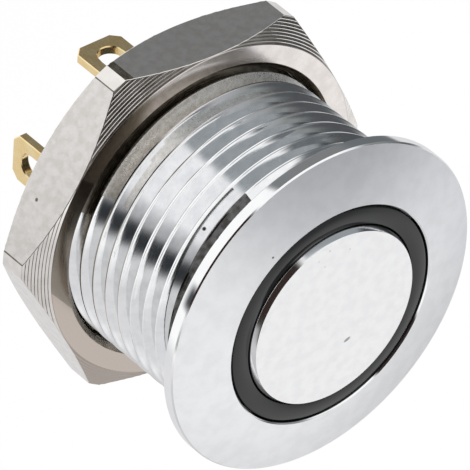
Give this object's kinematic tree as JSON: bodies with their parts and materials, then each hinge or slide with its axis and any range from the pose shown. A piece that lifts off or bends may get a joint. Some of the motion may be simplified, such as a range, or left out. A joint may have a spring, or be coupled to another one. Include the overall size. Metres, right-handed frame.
{
  "type": "illuminated push button",
  "caption": "Round panel push button with crowned metal flange, flat satin cap inside a dark light ring, threaded barrel, hex panel nut and gold solder lugs.",
  "frame": {"origin": "centre of the flange's underside, in the plane of the panel's front face", "axes": "+Z along the button's axis, out of the panel towards the finger; +X towards one lamp lug, -Y towards the common contact lug"},
  "size_m": [0.0214, 0.0194, 0.0195],
  "materials": {
    "flange_metal": "satin turned flange face, bright threaded barrel",
    "nut_metal": "brass with warm nickel plate, satin flats, turned corner chamfers",
    "cap_metal": "satin face with a polished edge",
    "ring_plastic": "smoke-tinted light guide, unlit",
    "plunger_plastic": "natural moulded plastic",
    "spring_steel": "drawn spring wire",
    "seal_rubber": "soft seal ring",
    "board": "white circuit board",
    "lamp_body": "small surface-mounted lamp, unlit",
    "resistor_body": "ceramic chip with a dark coat",
    "block_plastic": "black moulded contact block",
    "base_plastic": "black moulded terminal base",
    "seal_resin": "cast black resin",
    "lug_gold": "stamped brass with a thin gold plate",
    "bar_copper": "stamped copper alloy bar",
    "tip_silver": "silver contact tip"
  },
  "bodies": {
    "body": {"housing": "flange_metal", "light_ring": "ring_plastic", "return_spring": "spring_steel", "plunger_seal": "seal_rubber", "lamp_board": "board", "lamp_1": "lamp_body", "lamp_2": "lamp_body", "lamp_3": "lamp_body", "lamp_4": "lamp_body", "series_resistor": "resistor_body", "contact_block": "block_plastic", "terminal_base": "base_plastic", "rear_seal": "seal_resin", "contact_lug_common": "lug_gold", "contact_lug_open": "lug_gold", "lamp_lug_plus": "lug_gold", "lamp_lug_minus": "lug_gold", "fixed_tip_common": "tip_silver", "fixed_tip_open": "tip_silver"},
    "button": {"button_cap": "cap_metal", "plunger": "plunger_plastic", "contact_bar": "bar_copper", "moving_tip_common": "tip_silver", "moving_tip_open": "tip_silver"},
    "nut": {"panel_nut": "nut_metal"}
  },
  "joints": [
    {"name": "button_press", "type": "slide", "parent": "body", "child": "button", "axis": [0, 0, -1], "range_m": [0, 0.0013], "stiffness_N_per_m": 1200, "springref_m": -0.001, "deforming": ["return_spring"]},
    {"name": "nut_travel", "type": "slide", "parent": "body", "child": "nut", "axis": [0, 0, 1], "range_m": [-0.02, 0.0078]}
  ]
}
